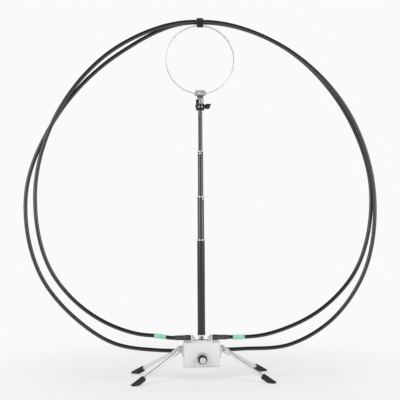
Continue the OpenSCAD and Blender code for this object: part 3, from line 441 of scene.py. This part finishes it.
def boot(flip):
    """Shrunk sleeve with a thicker end at the nut."""
    profile = [(0.0, 5.35), (0.0, 6.0), (0.5, 6.35), (1.5, 6.4), (9.5, 6.4), (10.6, 6.15), (11.8, 6.32), (20.0, 6.22),
               (22.6, 6.05), (23.6, 5.85), (24.0, 5.5), (24.0, 5.25)]
    return turned([(BOOT_X + s, r) for s, r in profile], 40, "X", (0, 0, SOCKET_Z), flip=flip,
                  radius=lambda s, a, r: r + 0.03 * math.sin(4 * a + s) if BOOT_X + 1.5 < s < BOOT_X + 22.5 else r)


piece("boot_sleeves", [boot(1), boot(-1)], "black_shrink", "base", "plug_boots")


def knurled_nut(flip):
    """Nut with a diamond knurl between two plain rims."""
    start, end = NUT_X, NUT_X + NUT_LEN
    knurl, ridges, pitch = 7.2, 30, 1.55
    outer = [(start, 6.5), (start + 0.5, 6.9), (start + 1.6, 7.0), (start + 1.8, 6.65), (start + 2.2, 6.65)]
    steps = 44
    outer += [(start + 2.4 + 11.6 * k / steps, knurl) for k in range(steps + 1)]
    outer += [(end - 2.6, 6.6), (end - 2.2, 6.6), (end - 2.0, 7.0), (end - 0.6, 6.9), (end, 6.3)]
    inner = [(end, 4.5), (end - 2.2, 4.5), (end - 2.2, 5.8), (start, 5.8)]

    def wall(s, a, r):
        if r != knurl:
            return r
        u = ridges * a / (2 * math.pi)
        v = (s - start) / pitch
        ridge = abs(math.sin(math.pi * (u + v))) * abs(math.sin(math.pi * (u - v)))
        return 6.75 + 0.45 * ridge ** 0.7

    return turned(outer + inner, 150, "X", (0, 0, SOCKET_Z), closed=True, radius=wall, flip=flip)


piece("nut_right_knurled", [knurled_nut(1)], "dark_nickel", "nut_right", "plug_nut_right", angle=50)
piece("nut_left_knurled", [knurled_nut(-1)], "dark_nickel", "nut_left", "plug_nut_left", angle=50)


def threaded(start, length, r, pitch, depth, steps_per_turn=6):
    """Stations of a barrel whose wall is cut by a thread, and the wall function."""
    steps = math.ceil(length / pitch * steps_per_turn)
    stations = [(start + length * k / steps, r) for k in range(steps + 1)]

    def wall(s, a, size):
        if size != r:
            return size
        phase = ((s - start) / pitch - a / (2 * math.pi)) % 1.0
        edge = min(1.0, (s - start) / 0.6, (start + length - s) / 0.6)
        return r - depth * (1 - abs(2 * phase - 1)) - 0.35 * (1 - max(0.0, edge))

    return stations, wall


def loop_socket(flip):
    """Threaded barrel on the ear and the nut behind it. The plain rim is a hair off the thread's radius."""
    thread, wall = threaded(EAR_X + 0.9, 12.1, THREAD_R, THREAD_PITCH, THREAD_DEPTH)
    body = [(EAR_X, THREAD_R + 0.0001), (EAR_X + 0.8, THREAD_R - 0.0001)] + thread
    bore = [(EAR_X + 13, 4.0), (EAR_X + 2, 4.0), (EAR_X + 2, 3.3), (EAR_X, 3.3)]
    barrel = turned(body + bore, 48, "X", (0, 0, SOCKET_Z), closed=True, radius=wall, flip=flip)
    corner = 5.9
    nut = [(22.0, 5.4), (22.35, corner), (24.5, corner), (24.5, 3.3), (22.0, 3.3)]
    back = turned(nut, 48, "X", (0, 0, SOCKET_Z), closed=True, flip=flip,
                  radius=lambda s, a, r: hexagon(a, 5.6) if r == corner else r)
    return [barrel, back]


piece("socket_barrels", loop_socket(1) + loop_socket(-1), "nickel", "base", "loop_sockets")

feed_thread, feed_wall = threaded(14.3, 9.2, THREAD_R, THREAD_PITCH, THREAD_DEPTH)
feed_body = [(FEED_Y, 6.1), (FEED_Y + 0.3, 6.5), (FEED_Y + 1.2, 6.5), (FEED_Y + 1.5, 6.2),
             (FEED_Y + 1.5, 5.2), (14.2, 5.2)]
feed_bore = [(FEED_Y + 11.5, 4.0), (FEED_Y + 3.5, 4.0), (FEED_Y + 3.5, 2.0), (FEED_Y, 2.0)]
feed_barrel = turned(feed_body + feed_thread + feed_bore, 48, "Y", (0, 0, FEED_Z), closed=True, radius=feed_wall)
piece("feed_barrel", [feed_barrel], "nickel", "head", "feed_socket")
feed_core = [(FEED_Y + 3.4, 3.9), (FEED_Y + 8.6, 3.9), (FEED_Y + 9.0, 3.6), (FEED_Y + 9.0, 1.5),
             (FEED_Y + 5.0, 1.4)]
piece("feed_dielectric", [turned(feed_core, 32, "Y", (0, 0, FEED_Z))], "insulator", "head")


# Case, dial and knob

def fillet(z, r, steps=6):
    """Levels of a rounded upper edge that ends at height z."""
    levels = []
    for k in range(steps + 1):
        a = math.radians(90 * k / steps)
        levels.append((z - r * (1 - math.sin(a)), r * (1 - math.cos(a))))
    return levels


case_levels = [(CASE_LOW, 0.7), (CASE_LOW + 0.4, 0.2), (CASE_LOW + 0.9, 0.0)] + fillet(CASE_TOP, 2.6)
piece("case_shell", [rounded_stack(case_levels, CASE_W, CASE_D, CASE_CORNER)], "white_plastic", "base",
      "tuner_case")

DIAL_MARKS, MARK_OUTER = 50, 17.4
DIAL_NUMBERS, NUMBER_R = 10, 14.4
marks = []
for k in range(DIAL_MARKS):
    a = 2 * math.pi * k / DIAL_MARKS
    inner, half = (15.9, 0.2) if k % 5 == 0 else (16.5, 0.12)
    corners = [(r * math.sin(a) + w * math.cos(a), KNOB_Z + r * math.cos(a) - w * math.sin(a))
               for r, w in ((inner, -half), (MARK_OUTER, -half), (MARK_OUTER, half), (inner, half))]
    marks.append(slab(corners, DIAL_FRONT - 0.04, DIAL_FRONT + 0.02))
piece("dial_marks", marks, "black_plastic", "base")

for k in range(DIAL_NUMBERS):
    a = 2 * math.pi * k / DIAL_NUMBERS
    words = bpy.data.curves.new("dial_number_%d" % k, "FONT")
    words.body = str(10 * k)
    words.size = 2.2 * MM
    words.extrude = 0.03 * MM
    words.align_x, words.align_y = "CENTER", "CENTER"
    number = bpy.data.objects.new("dial_number_%d" % k, words)
    number.matrix_world = (Matrix.Translation(Vector((0, DIAL_FRONT - 0.03, KNOB_Z)) * MM)
                           @ Matrix.Rotation(a, 4, "Y") @ Matrix.Translation(Vector((0, 0, NUMBER_R)) * MM)
                           @ Matrix.Rotation(math.pi / 2, 4, "X"))
    bpy.context.scene.collection.objects.link(number)
    words.materials.append(MATS["black_plastic"])
    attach(number, "base")

cap_profile = [(KNOB_FRONT + 0.3, 8.0), (KNOB_FRONT - 0.15, 8.0), (KNOB_FRONT - 0.35, 7.7),
               (KNOB_FRONT - 0.35, 7.1)]
cap_profile += [(KNOB_FRONT - 0.1 - 0.04 * (k % 2), 6.8 - 0.22 * k) for k in range(31)]
piece("knob_cap", [turned(cap_profile, 64, "Y", (0, 0, KNOB_Z))], "aluminium", "knob")
line_corners = [(-0.4, KNOB_Z + 10.3), (0.4, KNOB_Z + 10.3), (0.4, KNOB_Z + 11.7), (-0.4, KNOB_Z + 11.7)]
piece("knob_line", [slab(line_corners, SKIRT_FRONT - 0.06, SKIRT_FRONT + 0.2)], "white_plastic", "knob")


# Fasteners

def four(x, y):
    """Places at both signs of x and y."""
    return [(sx * x, sy * y) for sx in (-1, 1) for sy in (-1, 1)]


piece("bracket_heads", [screw_head((x, y, BRACKET_TOP), "Z", 1, 2.6, 1.8, "cross")
                        for x, y in four(BRACKET_SCREW_X, BRACKET_SCREW_Y)], "steel", "base", "bracket_screws")
piece("ring_heads", [screw_head((x, y, BLOCK_TOP), "Z", 1, 2.2, 1.5, "hex")
                     for x, y in four(RING_SCREW_X, RING_SCREW_Y)], "steel", "head", "ring_screws")
piece("hinge_heads", [screw_head((s * HINGE_SCREW_X, y, HINGE_SCREW_Z), "X", s, 2.6, 1.2, "cross")
                      for s, y in four(1, HINGE_SCREW_Y)], "steel", "base", "leg_bracket_screws")
piece("cover_heads", [screw_head((x, y, COVER_SCREW_Z), "Z", -1, 2.8, 1.8, "cross")
                      for x, y in four(COVER_SCREW_X, COVER_SCREW_Y)], "steel", "base", "cover_screws")


# Feed block and coupling ring

def bevelled_prism(outline, depth, width):
    """A prism across Y from an (x, z) outline, with all its edges rounded by width."""
    bm = bmesh.new()
    count = len(outline)
    verts = [(x, y, z) for y in (-depth / 2, depth / 2) for x, z in outline]
    sides = [(k, (k + 1) % count, count + (k + 1) % count, count + k) for k in range(count)]
    add_part(bm, verts, [tuple(range(count)), tuple(range(count, 2 * count))] + sides)
    bmesh.ops.recalc_face_normals(bm, faces=bm.faces)
    bmesh.ops.bevel(bm, geom=bm.edges[:], offset=width * MM, offset_type="OFFSET", segments=3, profile=0.5,
                    affect="EDGES")
    return bm


block_shoulder, block_flat = BLOCK_TOP - BLOCK_SLOPE, BLOCK_HALF - BLOCK_SLOPE
block_outline = [(-BLOCK_HALF, BLOCK_Z), (BLOCK_HALF, BLOCK_Z), (BLOCK_HALF, block_shoulder),
                 (block_flat, BLOCK_TOP), (-block_flat, BLOCK_TOP), (-BLOCK_HALF, block_shoulder)]
mesh_piece("block_shell", bevelled_prism(block_outline, BLOCK_DEPTH, 0.9), "grey_plastic", "head", "feed_block")
piece("block_heads", [screw_head((x, -BLOCK_DEPTH / 2, BLOCK_SCREW_Z), "Y", -1, 2.6, 1.4, "cross")
                      for x in (-BLOCK_SCREW_X, BLOCK_SCREW_X)], "chrome", "head")

RING_STEPS, RING_START, RING_SWEEP = 300, -87, 354
strip_profile = [(RING_R - STRIP_T / 2 + x, y) for x, y in rounded_outline(STRIP_T, STRIP_W, STRIP_EDGE, 6)]
ring_verts = []
for k in range(RING_STEPS + 1):
    a = math.radians(RING_START + RING_SWEEP * k / RING_STEPS)
    ring_verts += [Vector((r * math.cos(a), y, RING_Z + r * math.sin(a))) for r, y in strip_profile]
piece("ring_strip", [(ring_verts, grid_faces(RING_STEPS + 1, len(strip_profile)))], "bright_strip", "head",
      "coupling_ring")


# Mast foot: flange, neck and shoulder, a dark ring round the neck, which also paints the shadow gap under the collar,
# and the dark end of the lowest tube

foot_profile = [(BRACKET_TOP, 12.4), (BRACKET_TOP + 0.4, 12.9), (FLANGE_TOP - 0.5, 12.9), (FLANGE_TOP, 12.4),
                (FLANGE_TOP, 6.4), (FLANGE_TOP + 2.4, 6.4), (FLANGE_TOP + 2.4, 6.8), (FLANGE_TOP + 2.7, 7.0),
                (SHOULDER_Z, 7.0), (SHOULDER_Z, 9.6), (SHOULDER_Z + 0.4, 10.0), (TUBE_END, 10.0)]
piece("foot_collar", [turned(foot_profile, 64, "Z")], "aluminium", "base", "mast_foot")
# Painted shade: the black ring round the neck darkens the recess under the collar like a shadow gap, besides standing
# as an O-ring
RING_WIRE = 1.15
wire_angles = [math.radians(a) for a in range(0, 360, 24)]
ring_section = [(FLANGE_TOP + 1.2 + RING_WIRE * math.sin(a), 5.95 + RING_WIRE * math.cos(a)) for a in wire_angles]
piece("foot_ring_and_gap_shade", [turned(ring_section, 64, "Z", closed=True)], "black_steel", "base")
tube_end = [(TUBE_END + 0.05, 9.4), (TUBE_END + 0.05, 9.9), (TUBE_END + 0.5, 10.35), (TUBE_END + 4.9, 10.35),
            (TUBE_END + 5.6, 10.15), (TUBE_END + 5.7, 9.8)]
piece("tube_end_ring", [turned(tube_end, 64, "Z")], "black_plastic", "base")


# Painted shade: black slabs in the two slots of the tilt hub darken them as shade would

SLOT_SHADE_HALF, SLOT_SHADE_LOW, SLOT_SHADE_HIGH = 1.25, 714.0, 725.3
SLOT_SHADE_NEAR, SLOT_SHADE_FAR = 3.4, 6.0
slot_shade_corners = [(-SLOT_SHADE_HALF, SLOT_SHADE_LOW), (SLOT_SHADE_HALF, SLOT_SHADE_LOW), (SLOT_SHADE_HALF, SLOT_SHADE_HIGH),
                 (-SLOT_SHADE_HALF, SLOT_SHADE_HIGH)]
slot_shade_slabs = [slab(slot_shade_corners, side * SLOT_SHADE_NEAR, side * SLOT_SHADE_FAR) for side in (-1, 1)]
# Painted shade: these black slabs stand in for the shade in the hub's slots
piece("hub_slot_shade", slot_shade_slabs, "black_plastic", "head")


# Rubber feet

FOOT_LEN, FOOT_R, GROOVE_R = 24.0, 7.5, 6.9
FOOT_RIBS, RIB_STEP, FOOT_SIDES = 6, 3.1, 40


def rubber_foot(sx, sy):
    """Ribbed foot on the rod, cut level with the floor."""
    start = Vector((sx * HINGE_X, sy * ROD_START_Y, HINGE_Z))
    run = Vector((sx * LEG_REACH, sy * LEG_SPREAD, -LEG_DROP))
    length = run.length
    run.normalize()
    side = run.cross(Vector((0, 0, 1))).normalized()
    up = side.cross(run)
    rear = length - FOOT_LEN
    stations = [(rear, 4.4), (rear, 6.6), (rear + 0.6, 7.2)]
    for k in range(FOOT_RIBS):
        low = rear + 1.4 + RIB_STEP * k
        stations += [(low, FOOT_R), (low + 1.9, FOOT_R), (low + 2.2, GROOVE_R), (low + 2.8, GROOVE_R)]
    stations += [(length - 3.6, FOOT_R), (length + 14, FOOT_R)]
    verts = []
    for along, r in stations:
        for k in range(FOOT_SIDES):
            a = 2 * math.pi * k / FOOT_SIDES
            verts.append(start + run * along + side * (r * math.cos(a)) + up * (r * math.sin(a)))
    bm = bmesh.new()
    add_part(bm, verts, grid_faces(len(stations), FOOT_SIDES))
    cut = bmesh.ops.bisect_plane(bm, geom=bm.verts[:] + bm.edges[:] + bm.faces[:], plane_co=(0, 0, 0),
                                 plane_no=(0, 0, -1), clear_outer=True)
    bmesh.ops.edgeloop_fill(bm, edges=[e for e in cut["geom_cut"] if isinstance(e, bmesh.types.BMEdge)])
    bmesh.ops.recalc_face_normals(bm, faces=bm.faces)
    return bm


for name, sx in (("left", -1), ("right", 1)):
    both = bmesh.new()
    for sy in (-1, 1):
        one = rubber_foot(sx, sy)
        mesh = bpy.data.meshes.new("foot_part")
        one.to_mesh(mesh)
        one.free()
        both.from_mesh(mesh)
        bpy.data.meshes.remove(mesh)
    mesh_piece("feet_" + name, both, "foot_rubber", "leg_" + name, "leg_feet_" + name)


# Rounded edges on the carried-over metal and plastic

EDGE_WIDTHS = {
    "bottom_cover": 0.5, "socket_bracket": 0.35, "mast_collar_1": 0.5, "mast_collar_2": 0.5, "mast_collar_3": 0.5,
    "clip_body": 0.7, "clip_cap": 0.7, "rear_cable_clip": 0.6, "tuning_knob": 0.35, "head_fork": 0.5,
    "tilt_bolt": 0.3, "tilt_tongue": 0.4, "lock_ring": 0.25, "wing_knob": 0.8, "leg_brackets": 0.4, "leg_pins": 0.3,
    "leg_yoke_left": 0.4, "leg_yoke_right": 0.4, "dial_plate": 0.2,
}
for node_name, width in EDGE_WIDTHS.items():
    softened(node_name, width)


# Studio

BACKGROUND = (0.955, 0.955, 0.955, 1)
FLOOR_Z = -0.0003
FLOOR_RINGS, FLOOR_SIDES = (0.5, 1.0, 2.0, 4.0, 8.0, 16.0, 40.0), 64


def area_light(name, where, target, size, power, mirrored=True):
    """Soft box. One that isn't mirrored lights the object without showing as a reflection."""
    data = bpy.data.lights.new(name, "AREA")
    data.shape = "RECTANGLE"
    data.size, data.size_y = size
    data.energy = power
    lamp = bpy.data.objects.new(name, data)
    lamp.location = where
    lamp.visible_glossy = mirrored
    aim = Vector(target) - Vector(where)
    lamp.rotation_euler = aim.to_track_quat("-Z", "Y").to_euler()
    bpy.context.scene.collection.objects.link(lamp)


def map_range(tree, value, source, target):
    """Value moved smoothly from one range to another."""
    node = tree.nodes.new("ShaderNodeMapRange")
    node.interpolation_type = "SMOOTHSTEP"
    node.inputs["From Min"].default_value, node.inputs["From Max"].default_value = source
    node.inputs["To Min"].default_value, node.inputs["To Max"].default_value = target
    tree.links.new(value, node.inputs["Value"])
    return node.outputs["Result"]


def math_node(tree, operation, *values):
    node = tree.nodes.new("ShaderNodeMath")
    node.operation = operation
    for socket, value in zip(node.inputs, values):
        tree.links.new(value, socket)
    return node.outputs["Value"]


def mix_to(surface, tree, amount, first, second):
    """Mixes two shaders by amount into the surface socket."""
    mix = tree.nodes.new("ShaderNodeMixShader")
    tree.links.new(amount, mix.inputs["Fac"])
    tree.links.new(first, mix.inputs[1])
    tree.links.new(second, mix.inputs[2])
    tree.links.new(mix.outputs["Shader"], surface)


def studio_floor():
    """Round pale floor that turns into the white background far from the object."""
    bm = bmesh.new()
    middle = bm.verts.new((0, 0, FLOOR_Z))
    angles = [2 * math.pi * k / FLOOR_SIDES for k in range(FLOOR_SIDES)]
    previous = None
    for r in FLOOR_RINGS:
        ring = [bm.verts.new((r * math.cos(a), r * math.sin(a), FLOOR_Z)) for a in angles]
        for k in range(FLOOR_SIDES):
            n = (k + 1) % FLOOR_SIDES
            if previous is None:
                bm.faces.new((middle, ring[k], ring[n]))
            else:
                bm.faces.new((previous[k], ring[k], ring[n], previous[n]))
        previous = ring
    mesh = bpy.data.meshes.new("floor")
    bm.to_mesh(mesh)
    bm.free()
    floor = bpy.data.objects.new("floor", mesh)
    bpy.context.scene.collection.objects.link(floor)
    mat, tree, shader = new_material("floor_paper")
    shader.inputs["Base Color"].default_value = (0.93, 0.93, 0.925, 1)
    shader.inputs["Roughness"].default_value = 0.9
    shader.inputs["Specular IOR Level"].default_value = 0.1
    glow = tree.nodes.new("ShaderNodeEmission")
    glow.inputs["Color"].default_value = BACKGROUND
    path = tree.nodes.new("ShaderNodeLightPath")
    place = tree.nodes.new("ShaderNodeTexCoord")
    distance = tree.nodes.new("ShaderNodeVectorMath")
    distance.operation = "LENGTH"
    tree.links.new(place.outputs["Object"], distance.inputs[0])
    fade = map_range(tree, distance.outputs["Value"], (0.15, 0.85), (0.45, 1.0))
    seen = math_node(tree, "MAXIMUM", path.outputs["Is Camera Ray"], path.outputs["Is Glossy Ray"])
    seen = math_node(tree, "MAXIMUM", seen, path.outputs["Is Transmission Ray"])
    amount = math_node(tree, "MULTIPLY", seen, fade)
    mix_to(tree.nodes["Material Output"].inputs["Surface"], tree, amount, shader.outputs["BSDF"],
           glow.outputs["Emission"])
    mesh.materials.append(mat)


def studio_world():
    """Bright walls at both sides, paler behind, dim in front and above, and plain white to the camera."""
    world = bpy.data.worlds.new("studio")
    bpy.context.scene.world = world
    world.use_nodes = True
    tree = world.node_tree
    sky = tree.nodes["Background"]
    place = tree.nodes.new("ShaderNodeTexCoord")
    split = tree.nodes.new("ShaderNodeSeparateXYZ")
    tree.links.new(place.outputs["Generated"], split.inputs["Vector"])
    across = math_node(tree, "ABSOLUTE", split.outputs["X"])
    depth = map_range(tree, split.outputs["Y"], (-0.8, 0.6), (0.14, 0.62))
    sides = map_range(tree, across, (0.5, 0.85), (0.0, 0.75))
    wall = math_node(tree, "MAXIMUM", depth, sides)
    ceiling = map_range(tree, split.outputs["Z"], (0.2, 0.7), (1.0, 0.35))
    tree.links.new(math_node(tree, "MULTIPLY", wall, ceiling), sky.inputs["Color"])
    sky.inputs["Strength"].default_value = 1.0
    white = tree.nodes.new("ShaderNodeBackground")
    white.inputs["Color"].default_value = BACKGROUND
    path = tree.nodes.new("ShaderNodeLightPath")
    seen = math_node(tree, "MAXIMUM", path.outputs["Is Camera Ray"], path.outputs["Is Transmission Ray"])
    mix_to(tree.nodes["World Output"].inputs["Surface"], tree, seen, sky.outputs["Background"],
           white.outputs["Background"])


studio_floor()
studio_world()
area_light("left_box", (-1.8, -1.5, 1.05), (0, 0, 0.8), (1.0, 1.6), 23)
area_light("right_box", (1.8, -1.5, 1.05), (0, 0, 0.8), (1.0, 1.6), 23)
area_light("top_box", (0, -0.3, 2.4), (0, 0, 0.3), (2.2, 1.8), 22, mirrored=False)
area_light("back_box", (0, 2.2, 1.3), (0, 0, 0.4), (1.6, 1.0), 12, mirrored=False)

camera_data = bpy.data.cameras.new("camera")
camera = bpy.data.objects.new("camera", camera_data)
bpy.context.scene.collection.objects.link(camera)
VIEW_AZIMUTH, VIEW_ROLL = math.radians(-4.0), math.radians(-0.32)
VIEW_SHIFT, VIEW_DISTANCE, VIEW_HEIGHT = -0.0018, 2.34, 0.4628
SENSOR_MM, FOCAL_PX, PICTURE_PX = 36.0, 900, 400
camera_data.sensor_fit = "HORIZONTAL"
camera_data.sensor_width = SENSOR_MM
camera_data.lens = SENSOR_MM * FOCAL_PX / PICTURE_PX
turn = Matrix.Rotation(VIEW_AZIMUTH, 4, "Z")
camera.location = turn @ Vector((VIEW_SHIFT, -VIEW_DISTANCE, VIEW_HEIGHT))
level = Matrix.Rotation(math.radians(90), 4, "X")
camera.rotation_euler = (turn @ level @ Matrix.Rotation(VIEW_ROLL, 4, "Z")).to_euler()
bpy.context.scene.camera = camera
bpy.context.scene.view_settings.view_transform = "Standard"
